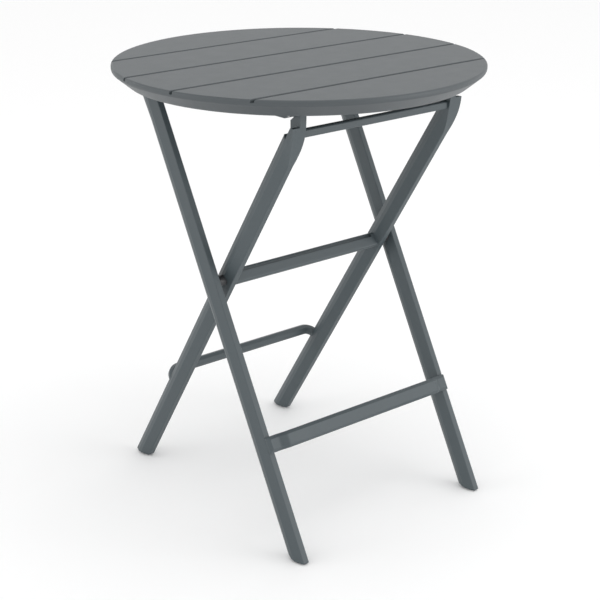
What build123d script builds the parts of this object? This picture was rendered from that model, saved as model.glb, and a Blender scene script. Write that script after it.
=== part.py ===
from build123d import *
import os
from math import copysign, cos, radians, sin, sqrt, tan

# Folding round bistro table, in millimetres. +Z is up and the floor is Z = 0. The origin lies on
# the floor under the centre of the round top. Crossbars run along X, and the front is at -Y.
# Two crossing leg frames turn on one pivot line: the outer frame leans to the back going up and
# the inner frame leans to the front. Right-hand pieces stand at +X, left-hand ones at -X.

# Round top
TOP_RADIUS = 300.0
TABLE_HEIGHT = 740.0
DECK_UNDERSIDE = 732.0
RIM_BOTTOM = 712.4
RIM_LIP_RADIUS = 276.0
RIM_FLAT_RADIUS = 269.7
RIM_ROOT_RADIUS = 245.6
RIM_EDGE_ROUND = 3.0
RIM_CREASE_ROUND = 5.0
RIM_BAND_BOTTOM = 731.9
GROOVE_PITCH = 121.0
GROOVE_HALF_TOP = 4.0
GROOVE_HALF_BOTTOM = 2.8
GROOVE_SHOULDER = 738.6
GROOVE_SHOULDER_ROUND = 2.6
GROOVE_FLOOR = 734.6
RIB_THICKNESS = 4.0
RIB_BOTTOM = 716.0
RIB_REACH = 262.0
LONG_RIBS_AT = (-130, -65, 65, 130)
CROSS_RIBS = ((-121, 220), (0, 250), (121, 170))

# Legs: one faceted section, 22 across its side ridges and about 33 in the plane of the frame
RIDGE_HALF = 11.0
SHOULDER_HALF = 10.0
SHOULDER_BACK = 7.3
NOSE_HALF = 5.3
NOSE_BACK = 17.0
NOSE_FRONT = 16.3
LEG_EDGE_ROUND = 1.6
LEG_BOTTOM = 1.5
FOOT_ROUND_TALL = 3.6
FOOT_ROUND_TOE = 4.0
FOOT_ROUND_HEEL = 2.5
FOOT_ROUND_SIDE = 3.0
FOOT_SEAM = 0.03
OUTER_X = 192.8
OUTER_FOOT_Y = -232.3
OUTER_LEAN = 28.15
OUTER_TOP = 705.0
INNER_X = 161.5
INNER_FOOT_Y = 248.2
INNER_LEAN = -32.7
FOOT_PAD_SHIFT = 1.0
NECK_FROM = 752.0
NECK_TO = 812.0
NECK_RIDGE_GROWTH = 1.5
NECK_NOSE_GROWTH = 7.0
NECK_FRONT_RADIUS = 150.0
NECK_FRONT_TOP = 705.0

# Main pivot and its hardware
PIVOT_Y = -13.9
PIVOT_Z = 408.2
PIVOT_PIN_RADIUS = 6.0
PIVOT_PIN_INNER = 137.0
PIVOT_PIN_OUTER = 196.8
SPACER_RADIUS = 9.0
SPACER_INNER = 169.0
SPACER_OUTER = 185.2
SPACER_SEAT_DEPTH = 185.3
RUNNING_GAP = 0.05

# Hinge between the inner frame and the top
HINGE_Y = -186.0
HINGE_Z = 714.0
HINGE_PIN_RADIUS = 4.0
BOSS_RADIUS = 9.5
TONGUE_INNER = 149.2
TONGUE_OUTER = 160.7
EAR_INNER = 161.5
EAR_OUTER = 174.5
BRACKET_FLANGE_BOTTOM = 728.0

# Crossbars
LOWER_BAR_AT = 189.7
LOWER_BAR_TALL = 26.5
LOWER_BAR_THICK = 14.0
LOWER_BAR_FRONT = 34.0
LOWER_BAR_LAP_FRONT = 25.0
LOWER_BAR_LAP_BACK = 11.0
LOWER_BAR_END = 197.8
LOWER_BAR_BEVEL = 5.0
LOWER_BAR_BACK_ROUND = 2.0
BAR_EDGE_ROUND = 4.0
MID_BAR_TALL = 24.5
MID_BAR_THICK = 20.0
MID_BAR_END = 156.5
MID_GROOVE_LOW = 5.0
MID_GROOVE_HIGH = 9.4
MID_GROOVE_DEPTH = 5.0
MID_GROOVE_END = 146.0
UPPER_BAR_TALL = 12.5
UPPER_BAR_THICK = 12.0
UPPER_BAR_ROUND = 3.0
UPPER_BAR_END = 157.0
UPPER_BAR_Y = -183.0
UPPER_BAR_Z = 677.0
RAIL_HALF = 8.5
RAIL_EDGE_ROUND = 1.5
RAIL_AT = 208.0
RAIL_STANDOFF = 29.0
RAIL_BEND = 20.0
RAIL_SEAT = 4.0
RAIL_TENON_RADIUS = 5.0
RAIL_TENON_END = -6.0

# Keepers that stop the tops of the outer legs
KEEPER_X_INNER = 180.0
KEEPER_X_OUTER = 206.0
KEEPER_PAD_FRONT = 118.0
KEEPER_WALL_FRONT = 166.0
KEEPER_WALL_BACK = 175.5
KEEPER_PAD_BOTTOM = 705.2
KEEPER_WALL_BOTTOM = 697.0

# Screws
SCREW_RADIUS = 2.0
SCREW_HEAD_RADIUS = 4.0
SCREW_HEAD_TALL = 2.4
SCREW_SOCKET_RADIUS = 2.0
SCREW_SOCKET_DEPTH = 1.6
SCREW_GAP = 0.02
LOWER_SCREW_LENGTH = 33.0
LOWER_SCREW_HEAD_TALL = 3.0
BRACKET_SCREW_LENGTH = 6.2
KEEPER_SCREW_LENGTH = 12.5
KEEPER_SCREW_HEAD_AT = 724.0
LOWER_SCREW_HEAD_AT = 13.5
LOWER_SCREW_OFFSETS = (-7, 7)
BRACKET_SCREWS_AT = ((153, -139), (171, -139), (153.5, -159))
KEEPER_SCREWS_AT = (130.0, 156.0)


def block(x0, x1, y0, y1, z0, z1):
    """Box between two opposite corners."""
    return Pos((x0 + x1) / 2, (y0 + y1) / 2, (z0 + z1) / 2) * Box(x1 - x0, y1 - y0, z1 - z0)


def prism(points, x0, x1):
    """Side outline, as (y, z) points, carried along X from x0 to x1."""
    outline = make_face(Polyline(*points, close=True))
    return extrude(Plane.YZ.offset(x0) * outline, amount=x1 - x0)


def cross_pin(radius, x0, x1, y, z):
    """Cylinder along X from x0 to x1, centred on y and z."""
    return Pos((x0 + x1) / 2, y, z) * Rot(Y=90) * Cylinder(radius, x1 - x0)


def mirrored(shape):
    """The same shape on the other side of the YZ plane."""
    return mirror(shape, about=Plane.YZ)


def leg_plane(x, foot_y, lean, along=0.0):
    """Plane square to a leg's axis: local x is +X and local y points to the back of the leg."""
    up = (0, sin(radians(lean)), cos(radians(lean)))
    return Plane(origin=(x, foot_y + along * up[1], along * up[2]), x_dir=(1, 0, 0), z_dir=up)


def outer_plane(x=OUTER_X, along=0.0):
    return leg_plane(x, OUTER_FOOT_Y, OUTER_LEAN, along)


def inner_plane(x=INNER_X, along=0.0):
    return leg_plane(x, INNER_FOOT_Y, INNER_LEAN, along)


def facets(ridge, front_nose, front, back=NOSE_BACK, back_nose=NOSE_HALF):
    """Corners of a leg section: side ridges, back shoulders, and flat noses at the front and back."""
    shoulder = ridge - RIDGE_HALF + SHOULDER_HALF
    right = [(front_nose, -front), (ridge, 0), (shoulder, SHOULDER_BACK), (back_nose, back)]
    return right + [(-x, y) for x, y in reversed(right)]


def leg_face(points):
    """Face of a leg section, with rounded noses and side ridges. The two back shoulders stay crisp."""
    face = make_face(Polyline(*points, close=True))
    crisp = (points[2], points[5])
    rounded = [v for v in face.vertices() if all(abs(v.X - x) + abs(v.Y - y) > 0.1 for x, y in crisp)]
    return fillet(rounded, LEG_EDGE_ROUND)


def leg_section(ridge=RIDGE_HALF, front_nose=NOSE_HALF, front=NOSE_FRONT, back=NOSE_BACK,
                back_nose=NOSE_HALF):
    """Faceted leg section, +Y to the back of the leg."""
    return leg_face(facets(ridge, front_nose, front, back, back_nose))


def screw_solid(radius, length, head_radius, head_tall):
    """Screw pointing up along +Z, head underside at Z = 0. It also serves to cut its own hole."""
    shape = Pos(0, 0, length / 2) * Cylinder(radius, length)
    shape += Pos(0, 0, -head_tall / 2) * Cylinder(head_radius, head_tall)
    return shape


def screw(length, head_tall):
    """Screw with a hexagon socket in its head."""
    shape = screw_solid(SCREW_RADIUS, length, SCREW_HEAD_RADIUS, head_tall)
    socket = extrude(RegularPolygon(SCREW_SOCKET_RADIUS, 6), amount=SCREW_SOCKET_DEPTH)
    return shape - Pos(0, 0, -head_tall) * socket


def screw_hole(length, head_tall):
    """Hole for a screw with a little clearance, its counterbore as tall as head_tall."""
    hole_length = length + SCREW_GAP
    return screw_solid(SCREW_RADIUS + SCREW_GAP, hole_length, SCREW_HEAD_RADIUS + SCREW_GAP, head_tall)


def round_top():
    """Round slatted top: deck, turned-down bevelled rim, four cross grooves and stiffening ribs."""
    corner = (TOP_RADIUS, TABLE_HEIGHT)
    section = make_face(Polyline(
        (0, DECK_UNDERSIDE), (RIM_ROOT_RADIUS, DECK_UNDERSIDE), (RIM_FLAT_RADIUS, RIM_BOTTOM),
        (RIM_LIP_RADIUS, RIM_BOTTOM), (TOP_RADIUS, RIM_BAND_BOTTOM), corner, (0, TABLE_HEIGHT),
        close=True))
    edge_point = section.vertices().sort_by(lambda v: v.X + v.Y)[-1]
    section = fillet(edge_point, RIM_EDGE_ROUND)
    crease_point = section.vertices().sort_by_distance((TOP_RADIUS, RIM_BAND_BOTTOM))[0]
    section = fillet(crease_point, RIM_CREASE_ROUND)
    top = revolve(Plane.XZ * section, axis=Axis.Z)

    inside_rim = Pos(0, 0, DECK_UNDERSIDE - 20) * Cylinder(RIB_REACH, 44)
    half = RIB_THICKNESS / 2
    for x in LONG_RIBS_AT:
        rib = block(x - half, x + half, -RIB_REACH, RIB_REACH, RIB_BOTTOM, DECK_UNDERSIDE + 1)
        top += rib & inside_rim
    for y, reach in CROSS_RIBS:
        top += block(-reach, reach, y - half, y + half, RIB_BOTTOM, DECK_UNDERSIDE + 1)

    for index in (-1.5, -0.5, 0.5, 1.5):
        top -= plank_groove(index * GROOVE_PITCH)
    for side in (-1, 1):
        top -= side_block(side, 142, 181, -200, -130)
        top -= side_block(side, 179, 207, 117, 176)
    return top


def side_block(side, x0, x1, y0, y1):
    """Recess under the deck at +X (side 1) or -X (side -1), open to below."""
    low = min(side * x0, side * x1)
    high = max(side * x0, side * x1)
    return block(low, high, y0, y1, RIM_BOTTOM - 10, DECK_UNDERSIDE)


def plank_groove(y):
    """Groove between two planks, as long as the top is wide, with rounded shoulders."""
    lift = 2.0
    outer_left = (y - GROOVE_HALF_TOP, TABLE_HEIGHT)
    inner_left = (y - GROOVE_HALF_BOTTOM, GROOVE_SHOULDER)
    inner_right = (y + GROOVE_HALF_BOTTOM, GROOVE_SHOULDER)
    outer_right = (y + GROOVE_HALF_TOP, TABLE_HEIGHT)
    slot = Polyline(inner_left, (inner_left[0], GROOVE_FLOOR), (inner_right[0], GROOVE_FLOOR), inner_right)
    above = Polyline(outer_right, (outer_right[0], TABLE_HEIGHT + lift),
                     (outer_left[0], TABLE_HEIGHT + lift), outer_left)
    left = RadiusArc(outer_left, inner_left, GROOVE_SHOULDER_ROUND)
    right = RadiusArc(inner_right, outer_right, GROOVE_SHOULDER_ROUND)
    outline = make_face([left, slot, right, above])
    length = 2 * TOP_RADIUS + 10
    return extrude(Plane.YZ.offset(-length / 2) * outline, amount=length)


def outer_leg_blank():
    """Straight faceted leg that swells slightly to the back under the top, cut level at both ends."""
    swell_from = 743.0
    swell_to = 830.0
    leg = extrude(outer_plane(along=-60) * leg_section(), amount=60 + swell_from)
    leg += loft([
        outer_plane(along=swell_from) * leg_section(),
        outer_plane(along=swell_to) * leg_section(ridge=11.6, back=18.5, back_nose=8.0)])
    leg -= block(OUTER_X - 40, OUTER_X + 40, -400, 400, OUTER_TOP, OUTER_TOP + 200)
    leg -= block(OUTER_X - 40, OUTER_X + 40, -400, 400, -200, LEG_BOTTOM + FOOT_ROUND_TALL)
    return leg + foot_end(OUTER_X, OUTER_FOOT_Y, OUTER_LEAN)


def foot_end(x, foot_y, lean):
    """Floor end of a leg below its straight part, rounded all around and most at the sharp toe."""
    stretch = 1 / cos(radians(lean))
    sections = []
    for turn in (0, 25, 50, 70, 90):
        z = LEG_BOTTOM + FOOT_ROUND_TALL * (1 - cos(radians(turn)))
        inset = 1 - sin(radians(turn))
        both_ends = FOOT_SEAM + inset * (FOOT_ROUND_TOE + FOOT_ROUND_HEEL) / 2
        heelward = copysign(inset * (FOOT_ROUND_TOE - FOOT_ROUND_HEEL) / 2, lean)
        centre_y = foot_y + z * tan(radians(lean)) + heelward
        narrow = 1 - (FOOT_SEAM + inset * FOOT_ROUND_SIDE) / RIDGE_HALF
        deep = stretch - both_ends / NOSE_BACK
        points = [(narrow * px, deep * py) for px, py in facets(RIDGE_HALF, NOSE_HALF, NOSE_FRONT)]
        sections.append(Plane.XY.offset(z) * Pos(x, centre_y) * leg_face(points))
    return loft(sections)


def foot_pad(x, y):
    """Oval glide with a push-in stem. It stands 1.5 proud of the leg's end."""
    pad = extrude(Plane.XY.offset(0) * Pos(x, y) * Ellipse(4.2, 8.5), amount=4.0)
    pad = fillet(pad.edges().group_by(Axis.Z)[0], 0.8)
    pad += Pos(x, y, 4 + 4.0) * Cylinder(2.0, 8.0)
    return pad


def outer_leg():
    """Right-hand leg of the outer frame."""
    leg = outer_leg_blank()
    leg -= foot_pad(OUTER_X, OUTER_FOOT_Y + FOOT_PAD_SHIFT)
    leg -= cross_pin(PIVOT_PIN_RADIUS + RUNNING_GAP, 170, PIVOT_PIN_OUTER + 0.2, PIVOT_Y, PIVOT_Z)
    leg -= cross_pin(SPACER_RADIUS + RUNNING_GAP, 170, SPACER_SEAT_DEPTH, PIVOT_Y, PIVOT_Z)
    leg -= lower_bar_solid()
    for hole in at_lower_bar(screw_hole(LOWER_SCREW_LENGTH, 7.0)):
        leg -= hole
    return leg


def at_lower_bar(shape):
    """The shape at the two screw places where the right-hand outer leg meets the lower crossbar."""
    planes = [outer_plane(OUTER_X, LOWER_BAR_AT + offset) for offset in LOWER_SCREW_OFFSETS]
    return [plane * Pos(0, LOWER_SCREW_HEAD_AT, 0) * Rot(X=90) * shape for plane in planes]


def lower_bar_solid():
    """Lower crossbar before drilling, with a broad bevel all around its front face."""
    back = LOWER_BAR_FRONT - LOWER_BAR_THICK
    right = [(166, -LOWER_BAR_FRONT), (176, -LOWER_BAR_LAP_FRONT), (LOWER_BAR_END, -LOWER_BAR_LAP_FRONT),
             (LOWER_BAR_END, -LOWER_BAR_LAP_BACK), (172, -LOWER_BAR_LAP_BACK), (162, -back)]
    left = [(-x, y) for x, y in reversed(right)]
    outline = make_face(Polyline(*right, *left, close=True))
    bends = [v for v in outline.vertices() if abs(v.X) < 180]
    outline = fillet(bends, 7.0)
    plane = outer_plane(0, LOWER_BAR_AT)
    bar = extrude(plane * outline, amount=LOWER_BAR_TALL / 2, both=True)
    bar = chamfer([edge for edge in bar.edges() if around_front(edge, plane)], LOWER_BAR_BEVEL)
    return fillet([edge for edge in bar.edges() if around_back(edge, plane)], LOWER_BAR_BACK_ROUND)


def around_front(edge, plane):
    """True for the edges around the front face of the lower crossbar, its steps and ends included."""
    at = plane.to_local_coords(edge.center())
    halfway = lower_bar_halfway(at.X)
    return at.Y < halfway - 0.3 and (abs(at.Z) > 1 or abs(at.X) > LOWER_BAR_END - 1)


def around_back(edge, plane):
    """True for the long upper and lower edges at the back of the lower crossbar."""
    at = plane.to_local_coords(edge.center())
    return at.Y > lower_bar_halfway(at.X) + 1.5 and abs(at.Z) > LOWER_BAR_TALL / 2 - 0.1


def lower_bar_halfway(x):
    """Depth of the lower crossbar's mid plane in the outer frame, at x."""
    if abs(x) < 165:
        return LOWER_BAR_THICK / 2 - LOWER_BAR_FRONT
    return -(LOWER_BAR_LAP_FRONT + LOWER_BAR_LAP_BACK) / 2


def lower_crossbar():
    """Wide front crossbar. Its ends step back and lap into the fronts of the outer legs."""
    bar = lower_bar_solid()
    for hole in at_lower_bar(screw_hole(LOWER_SCREW_LENGTH, 7.0)):
        bar -= hole
        bar -= mirrored(hole)
    return bar


def inner_leg_blank():
    """Straight faceted leg that widens into a nearly square neck under the top."""
    leg = extrude(inner_plane(along=-60) * leg_section(), amount=60 + NECK_FROM)
    leg += loft([neck_section(part) for part in (0, 0.25, 0.5, 0.75, 1)])
    leg += extrude(neck_section(1), amount=40)
    leg -= block(INNER_X - 40, INNER_X + 40, -400, 400, -200, LEG_BOTTOM + FOOT_ROUND_TALL)
    return leg + foot_end(INNER_X, INNER_FOOT_Y, INNER_LEAN)


def neck_section(part):
    """Section of the inner leg's neck, from the plain leg at part 0 to nearly square at part 1."""
    grown = part * part * (3 - 2 * part)
    ridge = RIDGE_HALF + NECK_RIDGE_GROWTH * grown
    section = leg_section(ridge, NOSE_HALF + NECK_NOSE_GROWTH * grown, NOSE_FRONT + 2.0 * grown)
    return inner_plane(along=NECK_FROM + part * (NECK_TO - NECK_FROM)) * section


def neck_front():
    """Space ahead of the neck, whose front curves from the leaning leg up to an upright face."""
    front = HINGE_Y - BOSS_RADIUS
    drop = 81.0
    centre_y = front + NECK_FRONT_RADIUS
    low = (centre_y - sqrt(NECK_FRONT_RADIUS ** 2 - drop ** 2), NECK_FRONT_TOP - drop)
    top = (front, NECK_FRONT_TOP)
    curve = RadiusArc(low, top, NECK_FRONT_RADIUS)
    rest = Polyline(top, (front, 900), (-400, 900), (-400, low[1]), low)
    return extrude(Plane.YZ.offset(120) * make_face([curve, rest]), amount=80)


def neck_cuts(leg):
    """Cut the top of the inner leg: a low outer half and a pocket for the ear."""
    leg -= block(120, TONGUE_OUTER, -172.5, 0, 676.5, 900)
    leg -= block(120, TONGUE_OUTER, -400, 0, 690.0, 900)
    leg -= block(TONGUE_OUTER, 200, -400, 0, 689.0, 900)
    pocket = inner_plane(TONGUE_OUTER, 792.0)
    leg -= pocket * Pos(20, 6.5 + 20, 50) * Box(40, 40, 100)
    return leg


def tongue():
    """Upright hinge tongue with a round boss, on the inner half of the neck."""
    front = HINGE_Y - BOSS_RADIUS
    outline = make_face(Polyline(
        (front, 678), (front, HINGE_Z), (-179.4, HINGE_Z), (-179.4, 702.2), (-172.5, 697),
        (-172.5, 678), close=True))
    outline += Pos(HINGE_Y, HINGE_Z) * Circle(BOSS_RADIUS)
    return extrude(Plane.YZ.offset(TONGUE_INNER) * outline, amount=TONGUE_OUTER - TONGUE_INNER)


def inner_leg():
    """Right-hand leg of the inner frame, with the hinge tongue at its top."""
    leg = neck_cuts(inner_leg_blank())
    leg += tongue()
    leg -= neck_front()
    leg -= foot_pad(INNER_X, INNER_FOOT_Y - FOOT_PAD_SHIFT)
    leg -= cross_pin(HINGE_PIN_RADIUS + RUNNING_GAP, 140, 170, HINGE_Y, HINGE_Z)
    leg -= cross_pin(PIVOT_PIN_RADIUS, 140, 180, PIVOT_Y, PIVOT_Z)
    leg -= cross_pin(SPACER_RADIUS, SPACER_INNER, 180, PIVOT_Y, PIVOT_Z)
    leg -= upper_crossbar()
    leg -= mid_bar_solid()
    leg -= rail_solid()
    return leg


def mid_bar_solid():
    """Mid crossbar before boring, its front face leaning back like the outer frame."""
    plane = Plane(origin=(-MID_BAR_END, PIVOT_Y, PIVOT_Z), x_dir=outer_plane().y_dir, z_dir=(1, 0, 0))
    section = plane * RectangleRounded(MID_BAR_THICK, MID_BAR_TALL, BAR_EDGE_ROUND)
    return extrude(section, amount=2 * MID_BAR_END)


def mid_crossbar():
    """Bar on the pivot line between the inner legs, with a finger groove along its front."""
    bar = mid_bar_solid() - finger_groove()
    for side in (-1, 1):
        end = side * (MID_BAR_END + 1)
        start = side * PIVOT_PIN_INNER
        bar -= cross_pin(PIVOT_PIN_RADIUS, min(start, end), max(start, end), PIVOT_Y, PIVOT_Z)
    return bar


def finger_groove():
    """Space of the groove in the front of the mid crossbar, just under its upper edge."""
    front = -MID_BAR_THICK / 2
    bar_frame = Plane(origin=(-MID_GROOVE_END, PIVOT_Y, PIVOT_Z), x_dir=outer_plane().y_dir,
                      z_dir=(1, 0, 0))
    corners = [(front - 5, MID_GROOVE_LOW), (front + MID_GROOVE_DEPTH, MID_GROOVE_LOW),
               (front + MID_GROOVE_DEPTH, MID_GROOVE_HIGH), (front - 5, MID_GROOVE_HIGH)]
    return extrude(bar_frame * make_face(Polyline(*corners, close=True)), amount=2 * MID_GROOVE_END)


def upper_crossbar():
    """Thin upright bar between the necks of the inner legs."""
    outline = RectangleRounded(UPPER_BAR_THICK, UPPER_BAR_TALL, UPPER_BAR_ROUND)
    outline = Pos(UPPER_BAR_Y, UPPER_BAR_Z) * outline
    return extrude(Plane.YZ.offset(-UPPER_BAR_END) * outline, amount=2 * UPPER_BAR_END)


def rail_solid():
    """Rear U-shaped eight-sided rod whose bent ends seat in the backs of the inner legs."""
    plane = inner_plane(0, RAIL_AT)
    corner = INNER_X - RAIL_BEND
    bend_low = RAIL_STANDOFF - RAIL_BEND
    path = Curve() + [
        Line((INNER_X, RAIL_SEAT), (INNER_X, bend_low)),
        RadiusArc((INNER_X, bend_low), (corner, RAIL_STANDOFF), -RAIL_BEND),
        Line((corner, RAIL_STANDOFF), (-corner, RAIL_STANDOFF)),
        RadiusArc((-corner, RAIL_STANDOFF), (-INNER_X, bend_low), -RAIL_BEND),
        Line((-INNER_X, bend_low), (-INNER_X, RAIL_SEAT))]
    placed = plane * path
    start = Plane(origin=placed @ 0, x_dir=plane.z_dir, z_dir=placed % 0)
    eight_sided = RegularPolygon(RAIL_HALF, 8, major_radius=False, rotation=22.5)
    rail = sweep(start * fillet(eight_sided.vertices(), RAIL_EDGE_ROUND), path=placed)
    tenon_long = RAIL_SEAT - RAIL_TENON_END
    for x in (-INNER_X, INNER_X):
        middle = (RAIL_SEAT + RAIL_TENON_END) / 2
        rail += plane * Pos(x, middle, 0) * Rot(X=90) * Cylinder(RAIL_TENON_RADIUS, tenon_long)
    return rail


def hinge_bracket():
    """Right-hand hinge bracket: a flange screwed under the deck and one ear for the hinge pin."""
    ear = prism([(-198, DECK_UNDERSIDE), (-198, 709.5), (-176, 702.2), (-147, 702.2), (-145, 704.2),
                 (-145, DECK_UNDERSIDE)], EAR_INNER, EAR_OUTER)
    bracket = ear + block(146, 178, -198, -132, BRACKET_FLANGE_BOTTOM, DECK_UNDERSIDE)
    bracket -= cross_pin(HINGE_PIN_RADIUS, 140, 190, HINGE_Y, HINGE_Z)
    for hole in at_bracket(screw_hole(BRACKET_SCREW_LENGTH, SCREW_HEAD_TALL + 1)):
        bracket -= hole
    return bracket


def at_bracket(shape):
    """The shape at the three screw places of the right-hand hinge bracket, flush in its flange."""
    head_at = BRACKET_FLANGE_BOTTOM + SCREW_HEAD_TALL
    return [Pos(x, y, head_at) * shape for x, y in BRACKET_SCREWS_AT]


def leg_keeper():
    """Right-hand keeper: a pad that rests on the outer leg's end and a wall behind it."""
    pad = block(KEEPER_X_INNER, KEEPER_X_OUTER, KEEPER_PAD_FRONT, KEEPER_WALL_FRONT,
                KEEPER_PAD_BOTTOM, DECK_UNDERSIDE)
    wall = block(KEEPER_X_INNER, KEEPER_X_OUTER, KEEPER_WALL_FRONT, KEEPER_WALL_BACK,
                 KEEPER_WALL_BOTTOM, DECK_UNDERSIDE)
    keeper = pad + wall
    open_tall = KEEPER_SCREW_HEAD_AT - KEEPER_PAD_BOTTOM + 1
    for hole in at_keeper(screw_hole(KEEPER_SCREW_LENGTH, open_tall)):
        keeper -= hole
    return keeper


def at_keeper(shape):
    """The shape at the two screw places of the right-hand keeper, sunk deep in its pad."""
    x = (KEEPER_X_INNER + KEEPER_X_OUTER) / 2
    return [Pos(x, y, KEEPER_SCREW_HEAD_AT) * shape for y in KEEPER_SCREWS_AT]


def hinge_pin():
    """Right-hand hinge pin: flat head inside the tongue, clip groove outside the ear."""
    pin = cross_pin(HINGE_PIN_RADIUS, 148, 178, HINGE_Y, HINGE_Z)
    pin += cross_pin(6.0, 145.6, 148.6, HINGE_Y, HINGE_Z)
    pin -= clip_ring(HINGE_PIN_RADIUS + 1)
    return pin


def clip_ring(outer):
    """Ring around the hinge pin's groove."""
    ring = cross_pin(outer, 175, 176, HINGE_Y, HINGE_Z)
    ring -= cross_pin(3.0, 175, 176, HINGE_Y, HINGE_Z)
    return ring


def hinge_clip():
    """Open spring clip in the hinge pin's groove."""
    return clip_ring(7.0) - block(170, 180, HINGE_Y - 1.8, HINGE_Y + 1.8, HINGE_Z, HINGE_Z + 10)


def both_sides(shapes):
    """Group of the given right-hand shapes and their left-hand mirror images."""
    return Compound(children=list(shapes) + [mirrored(shape) for shape in shapes])


def bored_top():
    """The round top with pilot holes for the screws that reach into the deck."""
    top = round_top()
    holes = at_bracket(screw_hole(BRACKET_SCREW_LENGTH, SCREW_HEAD_TALL))
    holes += at_keeper(screw_hole(KEEPER_SCREW_LENGTH, SCREW_HEAD_TALL))
    for hole in holes:
        top -= hole
        top -= mirrored(hole)
    return top


def pivot_pin():
    """Right-hand pivot pin, fixed in the mid crossbar and inner leg, free in the outer leg."""
    return cross_pin(PIVOT_PIN_RADIUS, PIVOT_PIN_INNER, PIVOT_PIN_OUTER, PIVOT_Y, PIVOT_Z)


def pivot_spacer():
    """Right-hand bush that keeps the two frames apart on the pivot pin."""
    bush = cross_pin(SPACER_RADIUS, SPACER_INNER, SPACER_OUTER, PIVOT_Y, PIVOT_Z)
    return bush - pivot_pin()


def write(name, shape):
    export_step(shape, f"parts/{name}.step")


os.makedirs("parts", exist_ok=True)

outer_right = outer_leg()
inner_right = inner_leg()
bracket_right = hinge_bracket()
keeper_right = leg_keeper()

write("tabletop", bored_top())
write("hinge_bracket_right", bracket_right)
write("hinge_bracket_left", mirrored(bracket_right))
write("hinge_bracket_screws", both_sides(at_bracket(screw(BRACKET_SCREW_LENGTH, SCREW_HEAD_TALL))))
write("leg_keeper_right", keeper_right)
write("leg_keeper_left", mirrored(keeper_right))
write("leg_keeper_screws", both_sides(at_keeper(screw(KEEPER_SCREW_LENGTH, SCREW_HEAD_TALL))))
write("hinge_pins", both_sides([hinge_pin()]))
write("hinge_pin_clips", both_sides([hinge_clip()]))
write("outer_leg_right", outer_right)
write("outer_leg_left", mirrored(outer_right))
write("outer_lower_crossbar", lower_crossbar())
lower_screws = at_lower_bar(screw(LOWER_SCREW_LENGTH, LOWER_SCREW_HEAD_TALL))
write("outer_crossbar_screws", both_sides(lower_screws))
write("outer_foot_pads", both_sides([foot_pad(OUTER_X, OUTER_FOOT_Y + FOOT_PAD_SHIFT)]))
write("inner_leg_right", inner_right)
write("inner_leg_left", mirrored(inner_right))
write("inner_mid_crossbar", mid_crossbar())
write("inner_upper_crossbar", upper_crossbar())
write("inner_rear_rail", rail_solid())
write("inner_foot_pads", both_sides([foot_pad(INNER_X, INNER_FOOT_Y - FOOT_PAD_SHIFT)]))
write("pivot_pins", both_sides([pivot_pin()]))
write("pivot_spacers", both_sides([pivot_spacer()]))
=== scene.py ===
import bpy
import math
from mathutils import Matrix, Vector

# Folding bistro table, in metres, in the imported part's own frame: origin on the floor under the
# centre of the round top, +Z up, crossbars along X, front at -Y.

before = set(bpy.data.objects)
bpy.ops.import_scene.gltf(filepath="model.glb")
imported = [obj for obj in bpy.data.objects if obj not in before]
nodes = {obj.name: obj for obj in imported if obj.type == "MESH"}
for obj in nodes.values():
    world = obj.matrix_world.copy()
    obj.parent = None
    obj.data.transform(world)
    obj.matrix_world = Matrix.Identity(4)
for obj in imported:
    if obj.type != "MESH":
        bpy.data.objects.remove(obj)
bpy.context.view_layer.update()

MM = 0.001

# Camera: where it looks from, as a direction out of the table, and how far away it stands
CAMERA_AZIMUTH = -39.91
CAMERA_ELEVATION = 20.41
CAMERA_DISTANCE = 2.471
CAMERA_TARGET = Vector((0.0069, 0.0060, 0.3258))
CAMERA_LENS = 86.83
SENSOR = 36.0

# Light and floor
SKY_STRENGTH = 1.0
OVERHEAD_POWER = 8.0
LEFT_POWER = 38.0
FRONT_POWER = 38.0
FLOOR_SIZE = 60.0

# Resin colours, linear
TOP_GREY = (0.063, 0.074, 0.080)
FRAME_GREY = (0.060, 0.077, 0.085)


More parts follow.
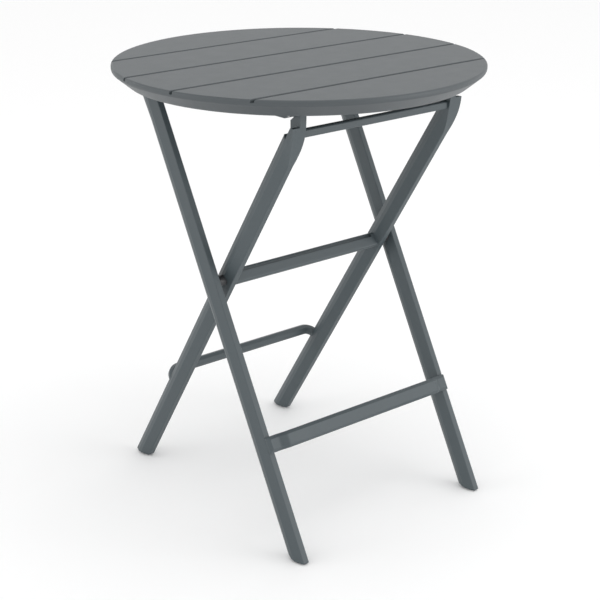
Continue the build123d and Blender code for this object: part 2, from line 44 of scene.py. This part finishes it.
class Graph:
    """One material's node tree, with short ways to add nodes and link them."""

    def __init__(self, name):
        self.material = bpy.data.materials.new(name)
        self.material.use_nodes = True
        self.tree = self.material.node_tree
        self.tree.nodes.clear()
        coordinates = self.add("ShaderNodeTexCoord")
        self.place = coordinates.outputs["Object"]

    def add(self, kind, inputs=None, **settings):
        """A new node with its settings, and its inputs either linked or set to a value."""
        node = self.tree.nodes.new(kind)
        for key, value in settings.items():
            setattr(node, key, value)
        for key, value in (inputs or {}).items():
            if isinstance(value, bpy.types.NodeSocket):
                self.tree.links.new(value, node.inputs[key])
            else:
                node.inputs[key].default_value = value
        return node

    def stretched(self, x, y, z):
        """Object coordinates scaled along each axis."""
        mapping = self.add("ShaderNodeMapping", {"Vector": self.place, "Scale": (x, y, z)})
        return mapping.outputs["Vector"]

    def noise(self, scale, detail=2.0, roughness=0.5, place=None):
        """Noise value from 0 to 1. The scale is in features per metre."""
        node = self.add("ShaderNodeTexNoise", {
            "Vector": place or self.place, "Scale": scale, "Detail": detail, "Roughness": roughness})
        return node.outputs["Fac"]

    def cells(self, scale, place=None):
        """Distance to the nearest of many scattered points. The scale is in cells per metre."""
        node = self.add("ShaderNodeTexVoronoi", {"Vector": place or self.place, "Scale": scale})
        return node.outputs["Distance"]

    def remap(self, value, low, high, to_low, to_high):
        """The value moved from one range to another and held inside it."""
        node = self.add("ShaderNodeMapRange", {
            "Value": value, "From Min": low, "From Max": high, "To Min": to_low, "To Max": to_high})
        return node.outputs["Result"]

    def math(self, operation, first, second):
        node = self.add("ShaderNodeMath", {0: first, 1: second}, operation=operation)
        return node.outputs[0]

    def mix(self, factor, first, second, blend="MIX"):
        """Two colours mixed by a factor."""
        node = self.add("ShaderNodeMix", data_type="RGBA", blend_type=blend)
        for index, value in ((0, factor), (6, first), (7, second)):
            if isinstance(value, bpy.types.NodeSocket):
                self.tree.links.new(value, node.inputs[index])
            else:
                node.inputs[index].default_value = value
        return node.outputs[2]

    def bump(self, height, depth, strength=1.0, below=None):
        """Bump normal from a height from 0 to 1, as deep as depth in metres."""
        inputs = {"Height": height, "Distance": depth, "Strength": strength}
        if below is not None:
            inputs["Normal"] = below
        return self.add("ShaderNodeBump", inputs).outputs["Normal"]

    def edge(self, radius):
        """1 on sharp edges of the shape, falling to 0 at about the given distance from them."""
        rounded = self.add("ShaderNodeBevel", {"Radius": radius}, samples=6)
        shape = self.add("ShaderNodeNewGeometry")
        dot = self.add("ShaderNodeVectorMath", {0: rounded.outputs[0], 1: shape.outputs["Normal"]},
                       operation="DOT_PRODUCT")
        return self.remap(dot.outputs["Value"], 1.0, 0.88, 0.0, 1.0)

    def finish(self, **inputs):
        """Close the tree with a principled shader."""
        shader = self.add("ShaderNodeBsdfPrincipled", {
            key.replace("_", " "): value for key, value in inputs.items()})
        self.add("ShaderNodeOutputMaterial", {"Surface": shader.outputs[0]})
        return self.material


def shade(colour, factor):
    """The colour made lighter or darker, as RGBA."""
    return tuple(channel * factor for channel in colour) + (1.0,)


def resin(name, colour, flow_axis):
    """Moulded outdoor resin: fine spark-eroded grain, faint flow marks, edges lightened as wear and
    as a painted highlight.
    """
    g = Graph(name)
    stretch = [14.0, 14.0, 14.0]
    stretch[flow_axis] = 1.6
    clouds = g.noise(5.0, 3.0)
    flow = g.noise(6.0, 4.0, 0.6, g.stretched(*stretch))
    mottle = g.noise(420.0, 3.0, 0.65)
    grain = g.noise(1900.0, 4.0, 0.7)
    pits = g.cells(1500.0)

    tone = g.mix(g.remap(clouds, 0.3, 0.7, 0.0, 1.0), shade(colour, 0.99), shade(colour, 1.01))
    tone = g.mix(g.remap(flow, 0.35, 0.75, 0.0, 0.25), tone, shade(colour, 1.03))
    tone = g.mix(g.remap(mottle, 0.35, 0.65, 0.0, 0.5), tone, shade(colour, 0.93))
    # Pit bottoms painted darker: a painted shade in the recesses of the grain.
    tone = g.mix(g.remap(pits, 0.0, 0.35, 0.35, 0.0), tone, shade(colour, 0.70))

    # Edges painted lighter: partly edge wear, partly a painted highlight where light catches them;
    # the same mask makes them a little glossier.
    edge_mask_breakup = g.remap(g.noise(160.0, 4.0, 0.7), 0.38, 0.62, 0.15, 1.0)
    worn_and_highlit_edges = g.math("MULTIPLY", g.edge(1.6 * MM), edge_mask_breakup)
    tone = g.mix(g.math("MULTIPLY", worn_and_highlit_edges, 0.35), tone, shade(colour, 1.7))

    roughness = g.remap(g.noise(35.0, 5.0, 0.6), 0.3, 0.7, 0.45, 0.48)
    roughness = g.math("SUBTRACT", roughness, g.math("MULTIPLY", worn_and_highlit_edges, 0.10))
    normal = g.bump(flow, 0.02 * MM, 0.3)
    normal = g.bump(pits, 0.05 * MM, 0.55, normal)
    normal = g.bump(grain, 0.03 * MM, 0.6, normal)
    return g.finish(Base_Color=tone, Roughness=roughness, Normal=normal, IOR=1.5)


def steel(name, colour, lines_axis):
    """Turned or plated steel with fine tool lines around one axis."""
    g = Graph(name)
    stretch = [40.0, 40.0, 40.0]
    stretch[lines_axis] = 900.0
    lines = g.noise(3.0, 3.0, 0.6, g.stretched(*stretch))
    haze = g.noise(90.0, 4.0, 0.6)
    tone = g.mix(g.remap(haze, 0.35, 0.7, 0.0, 1.0), shade(colour, 1.0), shade(colour, 0.72))
    # Edges painted lighter: a painted highlight along them.
    tone = g.mix(g.math("MULTIPLY", g.edge(0.5 * MM), 0.5), tone, shade(colour, 1.25))
    roughness = g.remap(haze, 0.3, 0.7, 0.26, 0.42)
    normal = g.bump(lines, 0.02 * MM, 0.5)
    return g.finish(Base_Color=tone, Metallic=1.0, Roughness=roughness, Normal=normal)


def rubber(name, colour):
    """Dark rubber of the foot pads, dusty where it meets the floor."""
    g = Graph(name)
    speckle = g.noise(900.0, 4.0, 0.7)
    height = g.add("ShaderNodeSeparateXYZ", {"Vector": g.place}).outputs["Z"]
    dust = g.math("MULTIPLY", g.remap(height, 0.0, 2.0 * MM, 0.6, 0.0), g.noise(220.0, 3.0))
    tone = g.mix(g.remap(speckle, 0.4, 0.7, 0.0, 1.0), shade(colour, 0.8), shade(colour, 1.3))
    tone = g.mix(dust, tone, (0.20, 0.19, 0.17, 1.0))
    normal = g.bump(speckle, 0.06 * MM, 0.6)
    return g.finish(Base_Color=tone, Roughness=0.82, Normal=normal)


def nylon(name, colour):
    """Dark, slightly waxy nylon of the spacer bushes."""
    g = Graph(name)
    wax = g.noise(300.0, 4.0, 0.6)
    tone = g.mix(g.remap(wax, 0.3, 0.7, 0.0, 1.0), shade(colour, 0.85), shade(colour, 1.2))
    normal = g.bump(wax, 0.03 * MM, 0.5)
    return g.finish(Base_Color=tone, Roughness=g.remap(wax, 0.3, 0.7, 0.35, 0.5), Normal=normal)


def matte_floor():
    """Plain pale floor."""
    g = Graph("stage_floor")
    tone = g.mix(g.noise(0.6, 3.0), (0.95, 0.95, 0.95, 1.0), (0.96, 0.96, 0.96, 1.0))
    return g.finish(Base_Color=tone, Roughness=0.9)


def dress(node, material):
    """Give a CAD node one material."""
    mesh = nodes[node].data
    mesh.materials.clear()
    mesh.materials.append(material)
    for polygon in mesh.polygons:
        polygon.material_index = 0


def dress_all():
    """Materials for every CAD node."""
    x_axis, z_axis = 0, 2
    top = resin("resin_top", TOP_GREY, x_axis)
    legs = resin("resin_legs", FRAME_GREY, z_axis)
    bars = resin("resin_bars", FRAME_GREY, x_axis)
    pins = steel("steel_pins", (0.58, 0.58, 0.57), x_axis)
    screws = steel("steel_screws", (0.50, 0.51, 0.52), z_axis)
    pads = rubber("rubber_pads", (0.022, 0.022, 0.023))
    bushes = nylon("nylon_bushes", (0.030, 0.031, 0.033))
    by_word = (
        ("screws", screws), ("pads", pads), ("spacers", bushes), ("pin", pins), ("tabletop", top),
        ("leg_keeper", bars), ("leg", legs), ("crossbar", bars), ("rail", bars), ("bracket", bars))
    for node in nodes:
        material = next(found for word, found in by_word if word in node)
        dress(node, material)


def make_floor():
    """Large flat floor at Z = 0, and not part of the table."""
    half = FLOOR_SIZE / 2
    corners = [(-half, -half, 0.0), (half, -half, 0.0), (half, half, 0.0), (-half, half, 0.0)]
    mesh = bpy.data.meshes.new("floor")
    mesh.from_pydata(corners, [], [(0, 1, 2, 3)])
    mesh.materials.append(matte_floor())
    floor = bpy.data.objects.new("floor", mesh)
    bpy.context.scene.collection.objects.link(floor)


def make_sky():
    """Even white surroundings."""
    world = bpy.data.worlds.new("sky")
    world.use_nodes = True
    background = world.node_tree.nodes["Background"]
    background.inputs["Color"].default_value = (1.0, 1.0, 1.0, 1.0)
    background.inputs["Strength"].default_value = SKY_STRENGTH
    bpy.context.scene.world = world


def make_light(name, position, target, size, power):
    """Soft square light that faces the target."""
    data = bpy.data.lights.new(name, "AREA")
    data.energy = power
    data.size = size
    light = bpy.data.objects.new(name, data)
    light.location = position
    direction = Vector(target) - Vector(position)
    light.rotation_mode = "QUATERNION"
    light.rotation_quaternion = direction.to_track_quat("-Z", "Y")
    bpy.context.scene.collection.objects.link(light)


def make_camera():
    """Camera at the reference view, aimed at the middle of the table."""
    azimuth = math.radians(CAMERA_AZIMUTH)
    elevation = math.radians(CAMERA_ELEVATION)
    outward = Vector((math.sin(azimuth) * math.cos(elevation),
                      -math.cos(azimuth) * math.cos(elevation),
                      math.sin(elevation)))
    data = bpy.data.cameras.new("camera")
    data.sensor_width = SENSOR
    data.lens = CAMERA_LENS
    data.clip_end = 200.0
    camera = bpy.data.objects.new("camera", data)
    camera.location = CAMERA_TARGET + outward * CAMERA_DISTANCE
    camera.rotation_mode = "QUATERNION"
    camera.rotation_quaternion = (-outward).to_track_quat("-Z", "Y")
    bpy.context.scene.collection.objects.link(camera)
    bpy.context.scene.camera = camera


dress_all()
make_floor()
make_sky()
make_light("overhead", (0.3, -0.5, 2.8), (0.0, 0.0, 0.5), 2.2, OVERHEAD_POWER)
make_light("left", (-5.2, 2.4, 1.3), (0.0, 0.0, 0.45), 2.6, LEFT_POWER)
make_light("front", (1.9, -3.3, 1.0), (0.0, 0.0, 0.45), 2.2, FRONT_POWER)
make_camera()
bpy.context.scene.view_settings.view_transform = "Standard"
